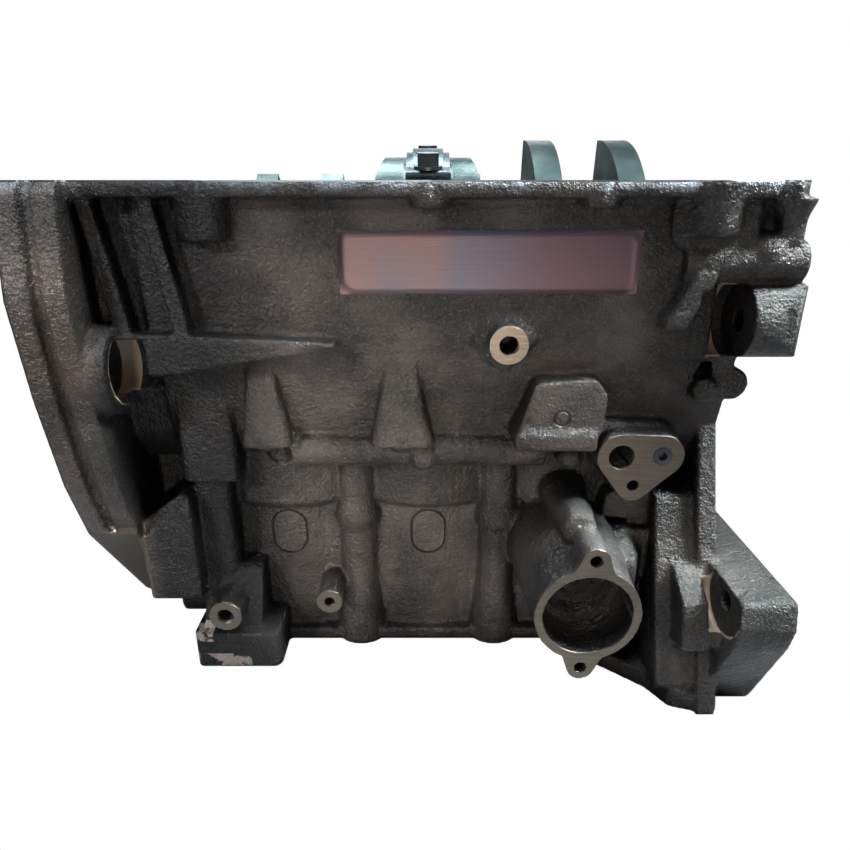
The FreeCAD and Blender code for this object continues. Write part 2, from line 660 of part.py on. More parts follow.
def seat_rod(shape, index):
    """Moves a rod piece from its own frame (big end at 0, rod along -Z) to its throw."""
    y, z = crank_pin(index)
    lean = math.degrees(math.asin(y / rod_length))
    placed = Part.makeCompound(shape.Solids)
    placed.rotate(Vector(0, 0, 0), Vector(1, 0, 0), -lean)
    placed.translate(Vector(bores[index], y, z))
    return placed


rod_half = pin_half - 0.6
rod_bolt_y = 27.6
rod_bolt_r = 4.0
rod_seat = 19.3
rod_cap_r = 27.0


def connecting_rod(index):
    big_r = rod_housing_r + 6.5
    big = rod("X", 0, 0, big_r, -rod_half, rod_half)
    lug_half = rod_bolt_y + 6
    shoulders = prism([(-lug_half, 0), (lug_half, 0), (lug_half, -14), (14, -40), (-14, -40), (-lug_half, -14)],
                      5, "X", -rod_half, rod_half)
    shank = prism([(-13, -20), (13, -20), (9, -rod_length + 8), (-9, -rod_length + 8)], 1, "X", -7, 7)
    small = rod("X", 0, -rod_length, wrist_r + 4.5, -11, 11)
    body = joined([big, shoulders, shank, small])
    cuts = [rod("X", 0, 0, rod_housing_r, -40, 40), rod("X", 0, -rod_length, wrist_r + 0.02, -40, 40)]
    cuts.append(box(-40, 40, -60, 60, -seat_gap, 60))
    for start, end in ((-8, -2.5), (2.5, 8)):
        pocket = [(-8.5, -44), (8.5, -44), (5, -rod_length + 22), (-5, -rod_length + 22)]
        cuts.append(prism(pocket, 3, "X", start, end))
    for side in (-1, 1):
        cuts.append(rod("Z", 0, side * rod_bolt_y, rod_bolt_r + seat_gap, -30, 1))
    return seat_rod(body.cut(cuts), index)


def rod_cap(index):
    lug_half = rod_bolt_y + 6
    crest = rod("X", 0, 0, rod_cap_r, -rod_half + 3.2, rod_half - 3.2)
    band = rod("X", 0, 0, rod_housing_r + 2.6, -rod_half, rod_half)
    lugs = prism([(-lug_half, 0), (lug_half, 0), (lug_half, rod_seat), (-lug_half, rod_seat)],
                 2, "X", -rod_half, rod_half)
    body = joined([crest, band, lugs])
    cuts = [rod("X", 0, 0, rod_housing_r, -40, 40), box(-40, 40, -60, 60, -60, seat_gap)]
    for side in (-1, 1):
        cuts.append(rod("Z", 0, side * rod_bolt_y, rod_bolt_r + 0.2, -1, 40))
        cuts.append(rod("Z", 0, side * rod_bolt_y, 7.6, rod_seat, 40))
    return seat_rod(body.cut(cuts), index)


def rod_bolts():
    solids = []
    for index in range(len(bores)):
        for side in (-1, 1):
            start = Vector(0, side * rod_bolt_y, rod_seat + seat_gap)
            one = bolt(start, Vector(0, 0, 1), rod_bolt_r, rod_seat + 26, 5.9, 7.5)
            solids += seat_rod(one, index).Solids
    return Part.makeCompound(solids)


def rod_shells():
    solids = []
    for keep in (-1, 1):
        shell = half_shells([(0, 0, 0, 0)], pin_r + oil_gap, rod_housing_r - seat_gap, rod_half - 1, keep)[0]
        for index in range(len(bores)):
            solids += seat_rod(shell, index).Solids
    return Part.makeCompound(solids)


def piston(index):
    """A slipper piston, crown towards the head face, with a shallow bowl."""
    x = bores[index]
    crown = wrist_z(index) - compression_height
    r = bore_r - piston_gap
    body = rod("Z", x, 0, r, crown, crown + piston_length)
    inner_r = r - 5
    inner = rod("Z", x, 0, inner_r, crown + crown_t, crown + piston_length + 1)
    boss_y = wrist_r + 5
    keep = []
    for side in (-1, 1):
        ends = sorted((side * 12.5, side * (wrist_length / 2 + 2)))
        keep.append(belt_prism([(0, wrist_z(index), boss_y), (0, crown, boss_y + 3)], "X", x + ends[0], x + ends[1]))
    inner = inner.cut(keep)
    cuts = [inner, rod("X", 0, wrist_z(index), wrist_r + 0.02, x - 40, x + 40)]
    for side in (-1, 1):
        ends = sorted((side * (wrist_length / 2 + 1.5), side * 40))
        cuts.append(box(x + ends[0], x + ends[1], -22, 22, crown + 20, crown + piston_length + 1))
    cuts.append(cone("Z", x, 0, 24, 19, crown - 1, crown + 3))
    z = crown + ring_first
    for width in ring_widths:
        groove = rod("Z", x, 0, r + 1, z, z + width + 0.06).cut(rod("Z", x, 0, r - ring_depth, z - 1, z + 9))
        cuts.append(groove)
        z += ring_step
    return body.cut(cuts)


def rings(kinds):
    solids = []
    for index, x in enumerate(bores):
        crown = wrist_z(index) - compression_height
        for k in kinds:
            z = crown + ring_first + k * ring_step + 0.03
            ring = rod("Z", x, 0, bore_r - 0.03, z, z + ring_widths[k])
            ring = ring.cut(rod("Z", x, 0, bore_r - ring_depth + 0.25, z - 1, z + 5))
            solids.append(ring)
    return Part.makeCompound(solids)


def piston_pin(index):
    x = bores[index]
    half = wrist_length / 2
    pin = rod("X", 0, wrist_z(index), wrist_r, x - half, x + half)
    return pin.cut(rod("X", 0, wrist_z(index), 6, x - half - 1, x + half + 1))


def retainer_bolts():
    spots = []
    for side in (-1, 1):
        middle = seal_outer_r + 11.5
        spots += [(side * 50, crank_z - 45), (side * middle, crank_z), (side * 50, crank_z + 33)]
    return spots


def rear_seal_retainer():
    half = rectangle(-retainer_half, retainer_half, crank_z - retainer_drop, rail_z - 0.5)
    plate = prism(half, 8, "X", rear_wall - retainer_t, rear_wall)
    hub = rod("X", 0, crank_z, seal_outer_r + 4, rear_wall - retainer_t - 3, rear_wall)
    body = joined([plate, hub])
    cuts = [rod("X", 0, crank_z, seal_outer_r + seat_gap, rear_wall - 30, rear_wall + 1)]
    for y, z in retainer_bolts():
        cuts.append(rod("X", y, z, retainer_bolt_r + 0.3, rear_wall - 20, rear_wall + 1))
    return body.cut(cuts)


def rear_oil_seal():
    start = rear_wall - retainer_t - 2
    ring = rod("X", 0, crank_z, seal_outer_r, start, rear_wall)
    return ring.cut([
        rod("X", 0, crank_z, seal_r + 0.05, start - 1, rear_wall + 1),
        cone("X", 0, crank_z, seal_outer_r - 3, seal_r + 2, start - 0.01, start + 5)])


def seal_retainer_bolts():
    bolts = []
    for y, z in retainer_bolts():
        start = Vector(rear_wall - retainer_t - seat_gap, y, z)
        bolts.append(bolt(start, Vector(-1, 0, 0), retainer_bolt_r, retainer_t + 12, 5.0, 5.0))
    return Part.makeCompound(bolts)


def gallery_plug():
    """Socket plug in the right-hand port of the machined flange."""
    x, z, _, hole_r = flange_ports[2]
    plug = rod("Y", x, z, hole_r - seat_gap, flange_face - 0.5, flange_face + 10)
    ring = []
    for k in range(7):
        angle = math.radians(60 * k + 10)
        ring.append(Vector(x + 2.2 * math.cos(angle), flange_face - 0.6, z + 2.2 * math.sin(angle)))
    socket = Part.Face(Part.makePolygon(ring)).extrude(Vector(0, 5, 0))
    return plug.cut(socket)


def write(name, shape):
    shape.exportStep("parts/" + name + ".step")
    valid = "valid" if shape.isValid() else "NOT VALID"
    print(name, len(shape.Solids), "solids", round(shape.Volume / 1000, 1), "cm3", valid)


os.makedirs("parts", exist_ok=True)
write("block", block())
write("crankshaft", crankshaft())
for number, place in enumerate(mains, 1):
    write("main_bearing_cap_%d" % number, main_cap(place))
write("main_cap_bolts", main_cap_bolts())
write("main_shells_upper", main_shells(-1))
write("main_shells_lower", main_shells(1))
write("thrust_washers", thrust_washers())
for number in range(1, len(bores) + 1):
    write("connecting_rod_%d" % number, connecting_rod(number - 1))
    write("rod_cap_%d" % number, rod_cap(number - 1))
    write("piston_%d" % number, piston(number - 1))
    write("piston_pin_%d" % number, piston_pin(number - 1))
write("rod_bolts", rod_bolts())
write("rod_bearing_shells", rod_shells())
write("compression_rings", rings((0, 1)))
write("oil_rings", rings((2,)))
write("rear_seal_retainer", rear_seal_retainer())
write("rear_oil_seal", rear_oil_seal())
write("seal_retainer_bolts", seal_retainer_bolts())
write("gallery_plug", gallery_plug())
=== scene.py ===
# %% [markdown]
# # An upside-down engine block
# This lesson dresses a three-cylinder short block: one dark iron casting with its crankshaft,
# rods and pistons inside. It stands on its cylinder-head face, so the sump rail is on top.
# The CAD model already has every piece in its place. The looks are built around it here.

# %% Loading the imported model
import json
import math

import bmesh
import bpy
import numpy as np
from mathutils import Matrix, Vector


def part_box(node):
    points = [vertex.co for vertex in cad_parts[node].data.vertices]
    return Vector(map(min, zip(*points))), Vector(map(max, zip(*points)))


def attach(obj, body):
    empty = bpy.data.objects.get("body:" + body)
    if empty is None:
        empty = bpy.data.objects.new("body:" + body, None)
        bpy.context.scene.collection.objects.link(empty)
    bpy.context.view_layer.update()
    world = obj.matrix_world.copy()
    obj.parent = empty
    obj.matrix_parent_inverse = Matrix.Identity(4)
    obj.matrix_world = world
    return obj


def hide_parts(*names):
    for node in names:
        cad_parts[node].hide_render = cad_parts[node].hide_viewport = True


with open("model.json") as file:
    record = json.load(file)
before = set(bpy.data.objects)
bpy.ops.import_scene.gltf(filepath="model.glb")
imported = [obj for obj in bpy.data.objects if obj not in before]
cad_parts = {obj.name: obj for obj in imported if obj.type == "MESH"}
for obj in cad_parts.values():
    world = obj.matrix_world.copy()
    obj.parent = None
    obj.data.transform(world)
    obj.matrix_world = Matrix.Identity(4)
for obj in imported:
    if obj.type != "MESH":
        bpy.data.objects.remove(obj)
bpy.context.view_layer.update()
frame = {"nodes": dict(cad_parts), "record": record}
nodes = frame["nodes"]
mm = 0.001
print("CAD nodes:", len(nodes))

# %% [markdown]
# ## The camera
# The photograph was taken close to the block, so lines along its depth run together strongly.
# The lens, the height and the tilt were worked out from the machined rings, which look round
# only where the camera sees them square on.

# %% The photograph's camera
camera_data = bpy.data.cameras.new("camera")
camera_data.sensor_width = 36.0
camera_data.lens = 27.53
camera_data.clip_start = 0.01
camera = bpy.data.objects.new("camera", camera_data)
camera.location = (-1.5 * mm, -383 * mm, 255 * mm)
camera.rotation_euler = (math.radians(69.35), 0, 0)
bpy.context.scene.collection.objects.link(camera)
bpy.context.scene.camera = camera


# %% [markdown]
# ## Shader building blocks
# Materials are node trees, and a tree written call by call is hard to read. This small class
# keeps each step to one line. The groups after it are the shapes and textures that repeat.


# %% Short calls for node trees
class Tree:
    """A node tree with short calls to add and link nodes."""

    def __init__(self, tree):
        self.tree = tree

    def add(self, kind, inputs=None, **settings):
        node = self.tree.nodes.new(kind)
        for name, value in settings.items():
            setattr(node, name, value)
        for key, value in (inputs or {}).items():
            self.feed(node.inputs[key], value)
        return node

    def feed(self, socket, value):
        if isinstance(value, bpy.types.NodeSocket):
            self.tree.links.new(value, socket)
        elif isinstance(value, tuple) and socket.type == "RGBA":
            socket.default_value = (*value, 1)
        else:
            socket.default_value = value

    def math(self, operation, first, second=0.0):
        node = self.add("ShaderNodeMath", operation=operation)
        self.feed(node.inputs[0], first)
        self.feed(node.inputs[1], second)
        return node.outputs[0]

    def product(self, *values):
        result = values[0]
        for value in values[1:]:
            result = self.math("MULTIPLY", result, value)
        return result

    def within(self, value, low, high):
        """1 where the value lies between two limits."""
        above = self.math("GREATER_THAN", value, low)
        return self.product(above, self.math("LESS_THAN", value, high))

    def split(self, vector):
        return self.add("ShaderNodeSeparateXYZ", {"Vector": vector}).outputs

    def ramp(self, value, low, high, start=0.0, end=1.0):
        node = self.add("ShaderNodeMapRange", {"Value": value}, interpolation_type="SMOOTHSTEP")
        for name, limit in (("From Min", low), ("From Max", high), ("To Min", start), ("To Max", end)):
            node.inputs[name].default_value = limit
        return node.outputs["Result"]

    def mix(self, factor, first, second):
        node = self.add("ShaderNodeMix", data_type="RGBA")
        for index, value in ((0, factor), (6, first), (7, second)):
            self.feed(node.inputs[index], value)
        return node.outputs[2]

    def blend(self, factor, first, second):
        """Mixes two numbers."""
        node = self.add("ShaderNodeMix", data_type="FLOAT")
        for index, value in ((0, factor), (2, first), (3, second)):
            self.feed(node.inputs[index], value)
        return node.outputs[0]

    def noise(self, vector, scale, detail=3.0, roughness=0.55):
        sizes = {"Vector": vector, "Scale": scale, "Detail": detail, "Roughness": roughness}
        return self.add("ShaderNodeTexNoise", sizes).outputs["Fac"]

    def stretched(self, vector, scale):
        return self.add("ShaderNodeMapping", {"Vector": vector, "Scale": scale}).outputs["Vector"]

    def fill(self, tree, inputs):
        """Places a node group and feeds its inputs by name."""
        node = self.add("ShaderNodeGroup", node_tree=tree)
        for name, value in inputs.items():
            self.feed(node.inputs[name], value)
        return node.outputs


FLOAT = "NodeSocketFloat"
VECTOR = "NodeSocketVector"


def new_group(name, inputs, outputs):
    group = bpy.data.node_groups.new(name, "ShaderNodeTree")
    for socket, kind in inputs:
        group.interface.new_socket(socket, in_out="INPUT", socket_type=kind)
    for socket, kind in outputs:
        group.interface.new_socket(socket, in_out="OUTPUT", socket_type=kind)
    tree = Tree(group)
    return group, tree, tree.add("NodeGroupInput").outputs, tree.add("NodeGroupOutput").inputs


def new_material(name):
    material = bpy.data.materials.new(name)
    material.use_nodes = True
    shader = material.node_tree.nodes["Principled BSDF"]
    return material, Tree(material.node_tree), shader.inputs


# %% Groups that pick out a place
def ring_group(axis):
    """Masks a ring or a disc square to one axis, between two radii and two planes."""
    names = ("U", "V", "Inner", "Outer", "From", "To")
    inputs = [("Vector", VECTOR)] + [(name, FLOAT) for name in names]
    group, tree, given, out = new_group("ring_" + axis.lower(), inputs, [("Mask", FLOAT)])
    split = tree.split(given["Vector"])
    across = [split[name] for name in "XYZ" if name != axis]
    du = tree.math("SUBTRACT", across[0], given["U"])
    dv = tree.math("SUBTRACT", across[1], given["V"])
    radius = tree.math("SQRT", tree.math("ADD", tree.product(du, du), tree.product(dv, dv)))
    band = tree.within(radius, given["Inner"], given["Outer"])
    tree.feed(out["Mask"], tree.product(band, tree.within(split[axis], given["From"], given["To"])))
    return group


def box_group():
    """Masks a box between two corners."""
    names = ("Vector", "Low", "High")
    inputs = [(name, VECTOR) for name in names]
    group, tree, given, out = new_group("box_zone", inputs, [("Mask", FLOAT)])
    place, low, high = (tree.split(given[name]) for name in names)
    bands = [tree.within(place[name], low[name], high[name]) for name in "XYZ"]
    tree.feed(out["Mask"], tree.product(*bands))
    return group


def mould_mark_group():
    """A thin groove round a shape with two flat sides and round ends, seen along Y."""
    names = ("X", "Z", "Radius", "Reach", "Line")
    inputs = [("Vector", VECTOR)] + [(name, FLOAT) for name in names]
    group, tree, given, out = new_group("mould_mark", inputs, [("Line", FLOAT)])
    split = tree.split(given["Vector"])
    dx = tree.math("SUBTRACT", split["X"], given["X"])
    dz = tree.math("ABSOLUTE", tree.math("SUBTRACT", split["Z"], given["Z"]))
    past = tree.math("MAXIMUM", tree.math("SUBTRACT", dz, given["Reach"]), 0.0)
    radius = tree.math("SQRT", tree.math("ADD", tree.product(dx, dx), tree.product(past, past)))
    off = tree.math("ABSOLUTE", tree.math("SUBTRACT", radius, given["Radius"]))
    line = tree.math("SUBTRACT", 1.0, tree.math("DIVIDE", off, given["Line"]))
    near = tree.math("LESS_THAN", split["Y"], -50 * mm)
    tree.feed(out["Line"], tree.product(tree.math("MAXIMUM", line, 0.0), near))
    return group


ring_zones = {axis: ring_group(axis) for axis in "XYZ"}
box_zone = box_group()
mould_mark = mould_mark_group()
print("place groups:", len(ring_zones) + 2)

# %% [markdown]
# ## Sand-cast skin
# Iron poured into sand takes the print of the grains. Real bumps would need millions of faces,
# so the grain is a height for the bump: fine noise for the sand, and coarser noise for lumps.
# Oil soaks into some parts more than others, and a few grains get painted glints.


# %% Group: sand-cast skin
def skin_group():
    """The pebbled skin: a height for the bump, an oil mask and a mask of painted glints."""
    outputs = [(name, FLOAT) for name in ("Height", "Oil", "PaintedGlint")]
    group, tree, given, out = new_group("cast_skin", [("Vector", VECTOR)], outputs)
    place = given["Vector"]
    fine = tree.noise(place, 1150.0, 2.0)
    coarse = tree.noise(place, 520.0, 2.0)
    lumps = tree.noise(place, 150.0, 3.0)
    height = tree.math("ADD", tree.product(fine, 0.55), tree.product(coarse, 0.9))
    tree.feed(out["Height"], tree.math("ADD", height, tree.product(lumps, 1.2)))
    tree.feed(out["Oil"], tree.ramp(tree.noise(place, 24.0, 4.0), 0.38, 0.64))
    # Painted glints: a mask of random grains that are made lighter in colour.
    tree.feed(out["PaintedGlint"], tree.ramp(tree.noise(place, 760.0, 3.0, 0.7), 0.50, 0.66))
    return group


cast_skin = skin_group()

# %% [markdown]
# ## Where the casting was cut
# The skin and the cut faces are one metal, so they share one material and differ by place. Each
# cut is listed once here. The material uses the list to colour the cuts, and the mesh code
# further down uses it to keep them flat and round.

# %% Cut faces and walls, in millimetres
# Flat faces: axis, centre, radius that the cut reaches, and its plane.
cut_faces = [
    ("Y", 74, 66, 40, -133),
    ("Y", 103, 127, 27, -98),
    ("Y", 36, 186, 8.8, -100),
    ("Y", -109, 35, 8.9, -92),
    ("Y", -54, 38, 7.0, -83),
]
cut_faces += [("Y", x, 158, 11, 92) for x in (-72, 6, 84)]
# Round walls that have gone tan and dull: axis, centre, radius, and where the wall starts and ends.
tan_walls = [
    ("X", -89, 173, 17, -151, -141),
    ("X", -87, 195, 17, 130, 137),
    ("X", -122, 67, 17, 136.5, 142),
]
# All bare round walls.
cut_walls = [
    ("Y", 36, 186, 4.5, -100, -82),
    ("Y", -109, 35, 4.6, -92, -72),
    ("Y", -54, 38, 3.0, -83, -68),
]
cut_walls += tan_walls
cut_walls += [("Z", x, 0, 35.95, 0, 132) for x in (-78, 0, 78)]
# Walls and faces painted dark as shade: in the pump bore, in a hole and on the mount spot faces.
shade_painted_walls = [
    ("Y", 74, 66, 21.0, -131.5, -108),
    ("Y", 74, 66, 17.0, -107.5, -97),
    ("Y", 74, 66, 13.0, -96.5, -77),
    ("Y", 92.5, 131, 6.2, -98, -70),
    ("X", -87, 195, 17, 137, 142),
]
shade_painted_faces = [("X", y, z, 17, 142) for y, z in ((-87, 195), (-122, 67))]
shade_painted_faces += [("X", side * 89, 173, 17, -151) for side in (-1, 1)]
shade_painted_faces += [("Y", 74, 66, 21.0, -108), ("Y", 74, 66, 17.0, -97), ("Y", 74, 66, 13.0, -77)]
# Whole planes: axis and place.
cut_planes = [("Z", 0), ("Z", 255), ("X", -175), ("X", 168)]
depth_of_cut = 0.7
# Boxes between a low and a high corner.
ground_pad = ((-39.6, -89.4, 206.9), (93.6, -86.4, 234.6))
flange_strip = ((-176, -90, 12), (-148.5, -24, 88))
worn_foot = [((-130, -92, -1), (-98, -86, 9)), ((-130, -92, 17), (-118, -80, 26))]
# Outlines left by the mould: X, Z, radius of the ends and half the straight length.
mould_marks = [(-77.5, 69.5, 9.6, 4.0), (0.5, 69.5, 9.6, 4.0), (63, 150, 3.6, 0.0)]
mark_width = 0.7


def scaled(values):
    return tuple(value * mm for value in values)


print("flat cuts:", len(cut_faces), "round cuts:", len(cut_walls))

# %% [markdown]
# ## Masks for the cuts
# A mask is 1 on the wanted faces and 0 elsewhere. Cuts could be given materials of their own,
# but the remesh further down forgets which face was which. A mask from the place alone still
# fits the new faces.


# %% Masks from the lists
def ring_mask(tree, place, axis, *sizes):
    zone = dict(zip(("U", "V", "Inner", "Outer", "From", "To"), scaled(sizes)))
    return tree.fill(ring_zones[axis], {"Vector": place, **zone})["Mask"]


def face_mask(tree, place, axis, u, v, radius, plane):
    low, high = plane - depth_of_cut, plane + depth_of_cut
    return ring_mask(tree, place, axis, u, v, -1, radius, low, high)


def wall_mask(tree, place, axis, u, v, radius, start, end):
    inner, outer = radius - depth_of_cut, radius + depth_of_cut
    return ring_mask(tree, place, axis, u, v, inner, outer, start, end)


def any_mask(tree, place, walls=(), faces=()):
    """1 on every wall and face of the lists."""
    mask = 0.0
    for wall in walls:
        mask = tree.math("MAXIMUM", mask, wall_mask(tree, place, *wall))
    for face in faces:
        mask = tree.math("MAXIMUM", mask, face_mask(tree, place, *face))
    return mask


def plane_mask(tree, place):
    """1 on every whole plane that was cut."""
    mask = 0.0
    split = tree.split(place)
    for axis, plane in cut_planes:
        low, high = scaled((plane - depth_of_cut, plane + depth_of_cut))
        mask = tree.math("MAXIMUM", mask, tree.within(split[axis], low, high))
    return mask


def zone_mask(tree, place, corners):
    low, high = corners
    return tree.fill(box_zone, {"Vector": place, "Low": scaled(low), "High": scaled(high)})["Mask"]


# %% [markdown]
# ## The cast iron material
# Sand-cast iron has a fine pebbled skin, and oil lies on it in patches. It is browner at the
# bell end, carries a painted highlight along the rail, and has painted shade at both ends and in
# its hollows, almost black there. One flat brown would look like plastic, so each of these is a
# thin layer mixed over the last.

# %% Where the skin changes, in millimetres
# A band runs from the place where a change starts to the place where it is complete.
rust_band = (-120, -165)
rim_band = (248.5, 252.5)
rim_front = -90
# Painted shade near the bell end, and in the recess at the timing end.
left_shade = (-60, -105)
left_shade_end = (-150, -140)
right_shade = (98, 130)
right_shade_front = (-95, -85)
# Painted shade in the pocket behind the bell flange.
pocket_side = (-122, -130)
pocket_front = (-84, -74)
pocket_back, pocket_top = 0, 200
hollow_reach = 35


def band(tree, value, limits):
    """Rises from 0 to 1 between two places."""
    return tree.ramp(value, *scaled(limits))


# %% Layers of the skin
def rim_mask(tree, split):
    front = tree.math("LESS_THAN", split["Y"], rim_front * mm)
    return tree.product(band(tree, split["Z"], rim_band), front)


def weathering_and_highlights(tree, place, split, skin, rim):
    """Oil, painted glints on a few grains, rust, lighter convex edges that are partly wear and partly
    painted highlight, and a painted highlight streaked along the rim.
    """
    iron = tree.mix(skin["Oil"], (0.052, 0.046, 0.040), (0.150, 0.128, 0.112))
    # Painted glints: a few grains made lighter in colour, standing in for sparkle.
    iron = tree.mix(tree.product(skin["PaintedGlint"], 0.4), iron, (0.24, 0.22, 0.21))
    patches = tree.ramp(tree.noise(place, 18.0), 0.35, 0.7)
    rust = tree.product(band(tree, split["X"], rust_band), patches)
    iron = tree.mix(tree.product(rust, 0.5), iron, (0.16, 0.105, 0.07))
    # Convex edges made lighter: partly wear, partly a painted highlight on the rounded edges.
    edge_wear_and_highlight = tree.ramp(tree.add("ShaderNodeNewGeometry").outputs["Pointiness"], 0.52, 0.60)
    iron = tree.mix(tree.product(edge_wear_and_highlight, 0.35), iron, (0.30, 0.30, 0.30))
    # A painted highlight: pale bluish streaks along the front of the rail's rim.
    streaks = tree.noise(tree.stretched(place, (45.0, 8.0, 8.0)), 1.0, 3.0)
    painted_rim_highlight = tree.product(rim, tree.ramp(streaks, 0.47, 0.58))
    return tree.mix(tree.product(painted_rim_highlight, 0.25), iron, (0.50, 0.54, 0.60))


def darkened(tree, split, iron):
    """Painted shade at both ends, in the pocket behind the flange, and in every hollow."""
    # Painted shade near both ends, nearly black.
    left = tree.product(band(tree, split["X"], left_shade), band(tree, split["X"], left_shade_end))
    wall = band(tree, split["Y"], right_shade_front)
    right = tree.product(band(tree, split["X"], right_shade), wall, 0.6)
    painted_end_shade = tree.product(tree.math("MAXIMUM", left, right), 0.9)
    iron = tree.mix(painted_end_shade, iron, (0.008, 0.007, 0.006))
    # Painted shade: the pocket behind the flange is painted near black.
    pocket = tree.product(band(tree, split["X"], pocket_side), band(tree, split["Y"], pocket_front))
    behind = tree.math("LESS_THAN", split["Y"], pocket_back * mm)
    below = tree.math("LESS_THAN", split["Z"], pocket_top * mm)
    iron = tree.mix(tree.product(pocket, behind, below), iron, (0.012, 0.011, 0.010))
    # Painted shade: the colour darkens with ambient occlusion in every hollow, almost to black.
    shade = tree.add("ShaderNodeAmbientOcclusion", {"Distance": hollow_reach * mm}, samples=4)
    painted_hollow_shade = tree.ramp(shade.outputs["AO"], 0.25, 0.85, 0.10, 1.0)
    return tree.mix(painted_hollow_shade, (0.004, 0.004, 0.004), iron)


def peeled(tree, place, iron):
    """Chips on the foot, where the dark coat has come off."""
    chips = tree.ramp(tree.noise(place, 75.0, 5.0, 0.6), 0.46, 0.50)
    for corners in worn_foot:
        bare_spots = tree.product(zone_mask(tree, place, corners), chips)
        iron = tree.mix(bare_spots, iron, (0.42, 0.34, 0.29))
    return iron


# %% [markdown]
# ## Cut metal and the ground pad
# Cut faces are lighter and warmer than the skin, with fine lines from the cutter. The flat pad
# was ground, so it mirrors soft colours of the room. These colours are a painted reflection from a
# slow noise along it, because a true mirror would show a bare white studio.


# %% Colours of the cuts
def cut_metal(tree, lines, rim, tan):
    bare = tree.mix(lines, (0.17, 0.14, 0.11), (0.34, 0.28, 0.22))
    bare = tree.mix(rim, bare, (0.08, 0.08, 0.08))
    return tree.mix(tan, bare, (0.52, 0.38, 0.26))


def pad_painted_reflection(tree, place, split):
    # Painted reflection: soft pink and slate-blue bands stand in for the room mirrored in the pad.
    hue = tree.noise(tree.stretched(place, (16.0, 1.0, 5.0)), 1.0, 1.0)
    reflected = tree.mix(tree.ramp(hue, 0.42, 0.55), (0.25, 0.155, 0.145), (0.165, 0.15, 0.185))
    return tree.mix(band(tree, split["X"], (15, 60)), reflected, (0.17, 0.115, 0.14))


def relief(tree, place, skin):
    """The sand's height, less the grooves that the mould left."""
    marks = 0.0
    for mark in mould_marks:
        sizes = dict(zip(("X", "Z", "Radius", "Reach", "Line"), scaled((*mark, mark_width))))
        line = tree.fill(mould_mark, {"Vector": place, **sizes})["Line"]
        marks = tree.math("ADD", marks, line)
    return tree.math("SUBTRACT", tree.product(skin["Height"], 1.4), tree.product(marks, 1.8))


# %% The whole material
def cast_iron():
    material, tree, shader = new_material("oiled_cast_iron")
    place = tree.add("ShaderNodeTexCoord").outputs["Object"]
    split = tree.split(place)
    skin = tree.fill(cast_skin, {"Vector": place})
    rim = rim_mask(tree, split)
    pad = zone_mask(tree, place, ground_pad)
    strip = zone_mask(tree, place, flange_strip)
    listed = tree.math("MAXIMUM", any_mask(tree, place, cut_walls, cut_faces), plane_mask(tree, place))
    cut = tree.math("MAXIMUM", listed, strip)
    bright = tree.math("MAXIMUM", cut, pad)
    # Painted shade: bore steps, a hole wall and the mount spot faces are painted near black.
    seat_and_bore_shade = any_mask(tree, place, shade_painted_walls, shade_painted_faces)
    tan = any_mask(tree, place, tan_walls)
    lines = tree.noise(tree.stretched(place, (60.0, 900.0, 900.0)), 1.0, 2.0)

    iron = weathering_and_highlights(tree, place, split, skin, rim)
    iron = peeled(tree, place, darkened(tree, split, iron))
    # The painted shade is laid over the skin colour here.
    iron = tree.mix(seat_and_bore_shade, iron, (0.030, 0.028, 0.026))
    metal = tree.mix(cut, iron, cut_metal(tree, lines, rim, tan))
    tree.feed(shader["Base Color"], tree.mix(pad, metal, pad_painted_reflection(tree, place, split)))

    shader["Specular IOR Level"].default_value = 0.8
    tree.feed(shader["Metallic"], tree.blend(tan, tree.blend(bright, 0.45, 1.0), 0.0))
    skin_rough = tree.blend(skin["Oil"], 0.50, 0.36)
    cut_rough = tree.blend(pad, 0.36, 0.50)
    tree.feed(shader["Roughness"], tree.blend(bright, skin_rough, cut_rough))
    height = tree.blend(bright, relief(tree, place, skin), tree.product(lines, 0.12))
    bump = tree.add("ShaderNodeBump", {"Height": height, "Strength": 1.0, "Distance": 0.9 * mm})
    tree.feed(shader["Normal"], bump.outputs["Normal"])
    print("cast iron nodes:", len(material.node_tree.nodes))
    return material


oiled_cast_iron = cast_iron()

# %% [markdown]
# ## Bare metals
# The crank train is bare steel, ground where it runs and rough where it was forged. Pistons are
# turned aluminium. Each could have a tree of its own, but they differ only in their colours, gloss
# and grain, so one builder makes them all.


# %% A builder for bare metals
def bare_metal(name, dark, light, roughness, grain, metallic=1.0):
    material, tree, shader = new_material(name)
    place = tree.add("ShaderNodeTexCoord").outputs["Object"]
    patches = tree.ramp(tree.noise(place, 55.0, 4.0), 0.35, 0.68)
    tree.feed(shader["Base Color"], tree.mix(patches, dark, light))
    shader["Metallic"].default_value = metallic
    fine = tree.noise(place, 900.0, 2.0)
    tree.feed(shader["Roughness"], tree.math("ADD", roughness - 0.08, tree.product(fine, 0.16)))
    bump = tree.add("ShaderNodeBump", {"Height": fine, "Strength": grain, "Distance": 0.3 * mm})
    tree.feed(shader["Normal"], bump.outputs["Normal"])
    return material


